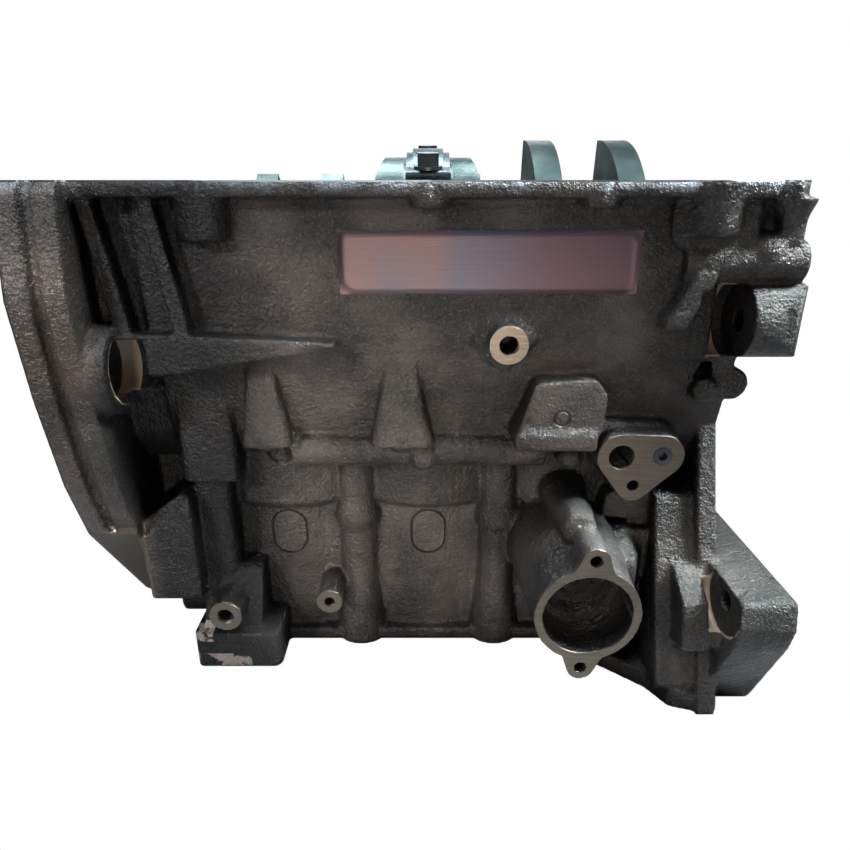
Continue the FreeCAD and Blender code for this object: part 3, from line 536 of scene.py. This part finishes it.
metals = {
    "crank_steel": bare_metal("crank_steel", (0.06, 0.085, 0.078), (0.14, 0.175, 0.16), 0.42, 0.6),
    "forged_rod": bare_metal("forged_rod", (0.08, 0.10, 0.105), (0.17, 0.20, 0.205), 0.44, 0.8),
    "piston_alloy": bare_metal("piston_alloy", (0.55, 0.55, 0.54), (0.70, 0.70, 0.69), 0.30, 0.1),
    "pin_steel": bare_metal("pin_steel", (0.50, 0.50, 0.52), (0.62, 0.62, 0.64), 0.18, 0.05),
    "ring_steel": bare_metal("ring_steel", (0.28, 0.28, 0.30), (0.38, 0.38, 0.40), 0.35, 0.1),
    "bearing_metal": bare_metal("bearing_metal", (0.50, 0.48, 0.42), (0.62, 0.60, 0.54), 0.33, 0.1),
    "bolt_steel": bare_metal("bolt_steel", (0.10, 0.11, 0.12), (0.20, 0.21, 0.22), 0.38, 0.2),
    "retainer_alloy": bare_metal("retainer_alloy", (0.42, 0.43, 0.44), (0.56, 0.57, 0.58), 0.48, 0.4),
    "seal_rubber": bare_metal("seal_rubber", (0.02, 0.02, 0.02), (0.04, 0.04, 0.04), 0.6, 0.3, 0.0),
    "cap_iron": bare_metal("cap_iron", (0.10, 0.10, 0.10), (0.18, 0.18, 0.18), 0.45, 0.5),
}
slot_of = {row["node"]: row["material_slot"] for row in frame["record"]["subparts"]}


def dress(piece, material):
    piece.data.materials.clear()
    piece.data.materials.append(material)


for name, node in nodes.items():
    dress(node, metals.get(slot_of[name], oiled_cast_iron))
print("bare metals:", len(metals))

# %% [markdown]
# ## Studio
# The photograph is a cut-out on white, lit from high up. The camera sees a white room, but the
# block is lit by a much darker one, so its hollows stay black. A large cool lamp overhead draws
# the shine on every ledge, and a weak warm one near the camera fills the front.


# %% A white backdrop that adds little light
def two_faced(tree, seen, lit):
    """One look for the camera, and another for the light that falls on the block."""
    ray = tree.add("ShaderNodeLightPath").outputs["Is Camera Ray"]
    mixed = tree.add("ShaderNodeMixShader")
    for index, value in ((0, ray), (1, lit), (2, seen)):
        tree.feed(mixed.inputs[index], value)
    return mixed.outputs[0]


def backdrop_floor():
    material = bpy.data.materials.new("studio_floor")
    material.use_nodes = True
    material.node_tree.nodes.clear()
    tree = Tree(material.node_tree)
    white = tree.add("ShaderNodeEmission", {"Color": (1.0, 1.0, 1.0), "Strength": 1.0}).outputs[0]
    matt = tree.add("ShaderNodeBsdfDiffuse", {"Color": (0.22, 0.22, 0.23)}).outputs[0]
    out = tree.add("ShaderNodeOutputMaterial")
    tree.feed(out.inputs["Surface"], two_faced(tree, white, matt))
    return material


def studio_world(strength):
    world = bpy.data.worlds.new("studio")
    world.use_nodes = True
    world.node_tree.nodes.clear()
    tree = Tree(world.node_tree)
    seen = tree.add("ShaderNodeBackground", {"Color": (1.0, 1.0, 1.0), "Strength": 1.0}).outputs[0]
    direction = tree.add("ShaderNodeTexCoord").outputs["Generated"]
    up = tree.split(direction)["Z"]
    sky = tree.mix(tree.ramp(up, -0.2, 0.7), (0.30, 0.26, 0.23), (0.80, 0.90, 1.0))
    lit = tree.add("ShaderNodeBackground", {"Color": sky, "Strength": strength}).outputs[0]
    out = tree.add("ShaderNodeOutputWorld")
    tree.feed(out.inputs["Surface"], two_faced(tree, seen, lit))
    return world


floor_half = 6.0
floor_mesh = bpy.data.meshes.new("floor")
corners = [(x * floor_half, y * floor_half, 0) for x, y in ((-1, -1), (1, -1), (1, 1), (-1, 1))]
floor_mesh.from_pydata(corners, [], [(0, 1, 2, 3)])
floor_mesh.materials.append(backdrop_floor())
floor = bpy.data.objects.new("floor", floor_mesh)
bpy.context.scene.collection.objects.link(floor)


# %% [markdown]
# ## Lamps
# Five lamps make the shine. A lamp with a narrow spread works like a spotlight with a soft edge,
# so it can lift one end of the block and leave the rest dark.


# %% Lamps
def area_lamp(name, place, size, watts, colour, spread=180, target=(0, -0.02, 0.13)):
    data = bpy.data.lights.new(name, "AREA")
    data.shape = "RECTANGLE"
    data.spread = math.radians(spread)
    data.size, data.size_y = size
    data.energy = watts
    data.color = colour
    lamp = bpy.data.objects.new(name, data)
    lamp.location = place
    aim = Vector(target) - Vector(place)
    lamp.rotation_euler = aim.to_track_quat("-Z", "Y").to_euler()
    bpy.context.scene.collection.objects.link(lamp)


warm = (1.0, 0.91, 0.82)
sky_blue = (0.80, 0.90, 1.0)
window_blue = (0.84, 0.92, 1.0)
sea_blue = (0.80, 0.94, 1.0)
off_white = (0.92, 0.95, 1.0)
area_lamp("overhead", (-0.1, 0.0, 1.2), (0.7, 0.3), 16, sky_blue)
area_lamp("window", (-0.2, 1.3, 0.75), (1.4, 0.6), 8, window_blue)
area_lamp("camera_side", (-0.03, -1.2, 0.14), (0.24, 0.20), 0.10, warm, 18, (-0.02, -0.08, 0.12))
area_lamp("timing_side", (0.8, -0.15, 0.9), (0.3, 0.4), 1.3, sea_blue, 24, (0.17, -0.1, 0.15))
area_lamp("bell_side", (-0.9, -0.9, 0.75), (0.25, 0.25), 0.18, off_white, 14, (-0.23, -0.1, 0.2))
bpy.context.scene.world = studio_world(0.04)
bpy.context.scene.view_settings.view_transform = "Standard"

# %% [markdown]
# ## The casting's skin
# Edges and inner corners of a sand casting are all rounded, and a CAD solid's aren't. A bevel
# fails where many edges of different lengths meet. Remeshing a copy of the solid into small even
# faces and then smoothing it rounds them together, as the sand does.


# %% Remeshing a copy of a CAD solid
def linked(mesh, name):
    piece = bpy.data.objects.new(name, mesh)
    bpy.context.scene.collection.objects.link(piece)
    return piece


def merged_copy(node_name, name):
    """A copy of a CAD node with its loose triangles joined."""
    mesh = nodes[node_name].data.copy()
    shape = bmesh.new()
    shape.from_mesh(mesh)
    bmesh.ops.remove_doubles(shape, verts=shape.verts, dist=0.002 * mm)
    shape.to_mesh(mesh)
    shape.free()
    return linked(mesh, name)


def with_modifier(piece, name, kind, **settings):
    """Applies one modifier and returns a plain copy."""
    modifier = piece.modifiers.new(kind.lower(), kind)
    for key, value in settings.items():
        setattr(modifier, key, value)
    graph = bpy.context.evaluated_depsgraph_get()
    mesh = bpy.data.meshes.new_from_object(piece.evaluated_get(graph))
    mesh.name = name
    bpy.data.objects.remove(piece)
    return linked(mesh, name)


def points_of(mesh):
    flat = np.empty(len(mesh.vertices) * 3)
    mesh.vertices.foreach_get("co", flat)
    return flat.reshape(-1, 3)


def put_points(mesh, points):
    mesh.vertices.foreach_set("co", points.ravel())
    mesh.update()


# %% [markdown]
# ## Forms that the foundry adds
# The CAD casting stops at its main forms. A few blends, a boss and the spot faces round the
# flange bolts are built here as simple closed shapes. The remesh melts the added ones into the
# casting, and the cutting ones are taken out of it first.


# %% Closed helper shapes, in millimetres
def shape_from(points, faces):
    mesh = bpy.data.meshes.new("shape")
    mesh.from_pydata([scaled(p) for p in points], [], faces)
    shape = bmesh.new()
    shape.from_mesh(mesh)
    bmesh.ops.recalc_face_normals(shape, faces=shape.faces)
    shape.to_mesh(mesh)
    shape.free()
    return linked(mesh, "shape")


def prism(axis, outline, start, end):
    """A closed bar: an outline in the two other axes, stretched along one axis."""
    count = len(outline)
    points = []
    for along in (start, end):
        for pair in outline:
            place = list(pair)
            place.insert("XYZ".index(axis), along)
            points.append(place)
    faces = [tuple(range(count)), tuple(range(count, 2 * count))]
    faces += [(i, (i + 1) % count, count + (i + 1) % count, count + i) for i in range(count)]
    return shape_from(points, faces)


def round_bar(axis, u, v, radius, start, end, from_angle=0, to_angle=360, inner=0):
    """A round bar, or with an inner radius a part of a pipe's wall."""
    steps = 64
    step = (to_angle - from_angle) / steps
    angles = [math.radians(from_angle + step * k) for k in range(steps + (inner > 0))]
    outline = [(u + radius * math.cos(a), v + radius * math.sin(a)) for a in angles]
    if inner:
        outline += [(u + inner * math.cos(a), v + inner * math.sin(a)) for a in reversed(angles)]
    return prism(axis, outline, start, end)


def chain(places):
    """Balls along a line that melt into one soft form; each place is X, Y, Z and a radius."""
    pieces = []
    for first, last in zip(places, places[1:]):
        steps = max(2, int(math.dist(first[:3], last[:3]) / (0.3 * min(first[3], last[3]))))
        for k in range(steps + 1):
            *centre, radius = (a + (b - a) * k / steps for a, b in zip(first, last))
            shape = bmesh.new()
            bmesh.ops.create_icosphere(shape, subdivisions=3, radius=radius * mm)
            bmesh.ops.translate(shape, verts=shape.verts, vec=scaled(centre))
            mesh = bpy.data.meshes.new("ball")
            shape.to_mesh(mesh)
            shape.free()
            pieces.append(linked(mesh, "ball"))
    return pieces


# %% Shapes that are cut out and shapes that are added
mount_y, mount_z, mount_radius = 89, 173, 17


def cutting_shapes():
    """The spot faces round the mount holes of the flange, and the hollows under their ribs."""
    cuts = [round_bar("X", side * mount_y, mount_z, mount_radius, -151, -128) for side in (-1, 1)]
    under_rib = [(-151, 79), (-123, 99), (-123, 40), (-151, 40)]
    cuts += [prism("Y", under_rib, *sorted((side * 84, side * 58))) for side in (-1, 1)]
    return cuts


def added_shapes():
    flange_foot = prism("X", [(-89, 84), (-40, 18), (-34, 26), (-80, 92)], -174.5, -150.5)
    shapes = [flange_foot]
    for side in (-1, 1):
        facing = (-80, 80) if side > 0 else (100, 260)
        collar = round_bar("X", side * mount_y, mount_z, 22, -153, -141, *facing, inner=mount_radius)
        shapes.append(collar)
    upper_seat = round_bar("X", -87, 195, 20.5, 130, 143, -80, 60, inner=17)
    behind_seat = prism("Y", [(110, 176), (131, 176), (131, 212), (110, 214)], -87, -72)
    lower_web = prism("X", [(-60, 92), (-90, 77), (-118, 62), (-126, 40), (-60, 20)], 124, 137)
    shapes += [upper_seat, behind_seat, lower_web]
    for x in (-80, -13):
        shapes += chain([(x, -79, 136, 9.5), (x, -82, 176, 3.5)])
        shapes += chain([(x - 8, -75, 134, 7), (x + 8, -75, 134, 7)])
    shapes += chain([(147, -88, 226, 9), (160, -84, 222, 8)])
    return shapes


# %% [markdown]
# ## Keeping the cuts true
# Smoothing would also round the edges of the bores and dish the flat cuts. Points that lie near
# a listed cut are kept out of the smoothing, and afterwards put back on their plane or radius.

# %% Keeping cut faces flat and round
snap = 0.9 * mm


def split_axes(points, axis):
    along = "XYZ".index(axis)
    u, v = [i for i in range(3) if i != along]
    return points[:, along], points[:, u], points[:, v]


def near_faces(points):
    """For each flat cut: which points are near it, their place along its axis, and its plane."""
    for axis, cu, cv, reach, plane in cut_faces + shade_painted_faces:
        along, u, v = split_axes(points, axis)
        inside = np.hypot(u - cu * mm, v - cv * mm) < reach * mm + snap
        yield (abs(along - plane * mm) < snap) & inside, along, plane * mm
    for axis, plane in cut_planes:
        along, u, v = split_axes(points, axis)
        yield abs(along - plane * mm) < snap, along, plane * mm


def near_walls(points):
    """For each round cut: which points are near it, and what puts them back on its radius."""
    for axis, cu, cv, radius, start, end in cut_walls + shade_painted_walls:
        along, u, v = split_axes(points, axis)
        du, dv = u - cu * mm, v - cv * mm
        reach = np.maximum(np.hypot(du, dv), 1e-9)
        near = (abs(reach - radius * mm) < snap) & (along > start * mm - snap) & (along < end * mm)
        yield near, (u, v), (cu * mm, cv * mm), (du, dv), radius * mm / reach


def machined_mask(points):
    """True for each point that lies on a cut."""
    mask = np.zeros(len(points), bool)
    for near, _, _ in near_faces(points):
        mask |= near
    for near, *_ in near_walls(points):
        mask |= near
    return mask


def restore_machined(points):
    for near, (u, v), (cu, cv), (du, dv), grow in near_walls(points):
        u[near] = cu + (du * grow)[near]
        v[near] = cv + (dv * grow)[near]
    for near, along, plane in near_faces(points):
        along[near] = plane


# %% [markdown]
# ## The rounded casting
# All steps come together here: cut, melt, remesh, smooth, put the cuts back, and then thin the
# mesh where it is flat. The flat cuts are shaded flat, because smooth shading would bend the
# light at their corners.

# %% Steps of the rounding
voxel = 0.95 * mm
triangle_goal = 185000
smooth_rounds = 13
# The upper lug's end: its plane, the front of its body, its height, and the corner's radius.
lug_end, lug_front, lug_bottom, lug_top, lug_corner = scaled((168, -88, 170, 246, 14))


def melted(base, shapes):
    """Puts all the shapes into one mesh; the remesh makes one skin of them."""
    whole = bmesh.new()
    for piece in [base] + shapes:
        whole.from_mesh(piece.data)
        bpy.data.objects.remove(piece)
    mesh = bpy.data.meshes.new("melted")
    whole.to_mesh(mesh)
    whole.free()
    return linked(mesh, "melted")


def round_lug_end(points):
    """Rounds the front corner of the upper lug's end, which is soft on the casting."""
    x, y, z = points.T
    past = np.clip(lug_front - y, 0, lug_corner - 0.1 * mm)
    limit = lug_end - (lug_corner - np.sqrt(lug_corner ** 2 - past ** 2))
    near = (z > lug_bottom) & (z < lug_top) & (y < lug_front)
    x[near] = np.minimum(x, limit)[near]


def shade_cuts_flat(mesh):
    """Shades the skin smooth and the flat cuts flat."""
    centres, normals = (np.empty(len(mesh.polygons) * 3) for _ in range(2))
    mesh.polygons.foreach_get("center", centres)
    mesh.polygons.foreach_get("normal", normals)
    level = abs(normals.reshape(-1, 3)).max(axis=1) > 0.9995
    flat = np.zeros(len(level), bool)
    for near, along, plane in near_faces(centres.reshape(-1, 3)):
        flat |= near & level & (abs(along - plane) < 0.02 * mm)
    mesh.polygons.foreach_set("use_smooth", ~flat)
    print("flat faces:", int(flat.sum()))


# %% The rounded casting
def rounded_casting(node_name, name):
    """A rounded copy of a CAD node, with its cut faces kept flat."""
    base = merged_copy(node_name, "base")
    difference = {"operation": "DIFFERENCE", "solver": "EXACT"}
    for cutter in cutting_shapes():
        base = with_modifier(base, "base", "BOOLEAN", object=cutter, **difference)
        bpy.data.objects.remove(cutter)
    base = melted(base, added_shapes())
    fine = with_modifier(base, "fine", "REMESH", mode="VOXEL", voxel_size=voxel)
    cast = ~machined_mask(points_of(fine.data))
    group = fine.vertex_groups.new(name="cast")
    group.add([int(i) for i in np.flatnonzero(cast)], 1.0, "REPLACE")
    rounding = {"factor": 0.5, "iterations": smooth_rounds, "vertex_group": "cast"}
    smooth = with_modifier(fine, "smooth", "SMOOTH", **rounding)
    points = points_of(smooth.data)
    round_lug_end(points)
    restore_machined(points)
    put_points(smooth.data, points)
    faces = sum(len(p.vertices) - 2 for p in smooth.data.polygons)
    piece = with_modifier(smooth, name, "DECIMATE", ratio=min(1.0, triangle_goal / faces))
    low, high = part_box(node_name)
    put_points(piece.data, np.clip(points_of(piece.data), np.array(low), np.array(high)))
    shade_cuts_flat(piece.data)
    print(name, faces, "to", len(piece.data.polygons), "faces")
    return piece


casting = rounded_casting("block", "casting")
dress(casting, oiled_cast_iron)
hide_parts("block")
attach(casting, "root")

# %% [markdown]
# ## Threads
# The tapped holes are plain bores in the CAD model. A ridge wound along each wall makes them
# threads. One thread could be drawn point by point, but the same rule holds for all of them, so
# a Geometry Nodes tree winds the ridge from a few sizes and puts a copy at every hole. The ridge
# has three sides and closed ends, and its foot lies under the wall, so no gap shows.

# %% Tapped holes, in millimetres
# The way into the metal, the mouths, and then radius, depth and pitch.
tapped_holes = [
    ("+Y", [(36, -98.5, 186)], 4.5, 16.5, 1.5),
    ("+Y", [(-109, -90.5, 35)], 4.6, 18.5, 1.5),
    ("+Y", [(-54, -82, 38)], 3.0, 14, 1.0),
    ("+Y", [(75.3, -132, 95.2), (72.7, -132, 36.8)], 3.0, 15, 1.0),
    ("+Y", [(99.5, -97, 116)], 3.0, 13, 1.0),
    ("-Y", [(x, 91, 158) for x in (-72, 6, 84)], 4.3, 13, 1.25),
]
rail_holes = [(x, side * 92, 254) for x in (-135, -96, -46, 1, 73, 122) for side in (-1, 1)]
tapped_holes += [("-Z", rail_holes, 3.0, 5, 1.0)]
turned = {"+Y": (-math.pi / 2, 0, 0), "-Y": (math.pi / 2, 0, 0), "-Z": (math.pi, 0, 0)}
turn_steps = 20


# %% The tree that winds a thread
def thread_tree():
    """A three-sided ridge along a spiral, with a copy at each point of the incoming mesh."""
    group = bpy.data.node_groups.new("wound_thread", "GeometryNodeTree")
    kinds = [("Holes", "NodeSocketGeometry"), ("Radius", FLOAT), ("Depth", FLOAT), ("Pitch", FLOAT)]
    kinds += [("Turned", VECTOR), ("Metal", "NodeSocketMaterial")]
    for name, kind in kinds:
        group.interface.new_socket(name, in_out="INPUT", socket_type=kind)
    group.interface.new_socket("Threads", in_out="OUTPUT", socket_type="NodeSocketGeometry")
    tree = Tree(group)
    given = tree.add("NodeGroupInput").outputs
    turns = tree.math("DIVIDE", given["Depth"], given["Pitch"])
    sizes = {"Start Radius": given["Radius"], "End Radius": given["Radius"], "Height": given["Depth"]}
    path = tree.add("GeometryNodeCurveSpiral", {"Resolution": turn_steps, "Rotations": turns, **sizes})
    crest = tree.product(given["Pitch"], 0.5)
    outline = tree.add("GeometryNodeCurvePrimitiveCircle", {"Resolution": 3, "Radius": crest})
    level = tree.add("GeometryNodeSetCurveNormal", {"Curve": path.outputs["Curve"]}, mode="Z_UP")
    curves = {"Curve": level.outputs["Curve"], "Profile Curve": outline.outputs["Curve"]}
    ridge = tree.add("GeometryNodeCurveToMesh", {**curves, "Fill Caps": True})
    smooth = tree.add("GeometryNodeSetShadeSmooth", {"Geometry": ridge.outputs["Mesh"]})
    seats = {"Points": given["Holes"], "Rotation": given["Turned"]}
    seats["Instance"] = smooth.outputs["Geometry"]
    copies = tree.add("GeometryNodeInstanceOnPoints", seats)
    real = tree.add("GeometryNodeRealizeInstances", {"Geometry": copies.outputs["Instances"]})
    coat = {"Geometry": real.outputs["Geometry"], "Material": given["Metal"]}
    painted = tree.add("GeometryNodeSetMaterial", coat)
    out = tree.add("NodeGroupOutput")
    tree.feed(out.inputs["Threads"], painted.outputs["Geometry"])
    return group


wound_thread = thread_tree()


# %% Winding the threads
def wound(places, values):
    """Runs the tree on one kind of hole and returns a plain mesh."""
    mesh = bpy.data.meshes.new("holes")
    mesh.from_pydata([scaled(place) for place in places], [], [])
    piece = linked(mesh, "holes")
    modifier = piece.modifiers.new("wound_thread", "NODES")
    modifier.node_group = wound_thread
    for socket in wound_thread.interface.items_tree:
        if socket.name in values:
            modifier[socket.identifier] = values[socket.name]
    graph = bpy.context.evaluated_depsgraph_get()
    result = bpy.data.meshes.new_from_object(piece.evaluated_get(graph))
    bpy.data.objects.remove(piece)
    return result


def threads(name, metal):
    shape = bmesh.new()
    for way, places, *lengths in tapped_holes:
        values = dict(zip(("Radius", "Depth", "Pitch"), scaled(lengths)))
        values.update({"Turned": turned[way], "Metal": metal})
        shape.from_mesh(wound(places, values))
    mesh = bpy.data.meshes.new(name)
    shape.to_mesh(mesh)
    shape.free()
    print(name, "has", len(mesh.polygons), "faces")
    return linked(mesh, name)


tapped = threads("threads", metals["bolt_steel"])
dress(tapped, metals["bolt_steel"])
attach(tapped, "root")
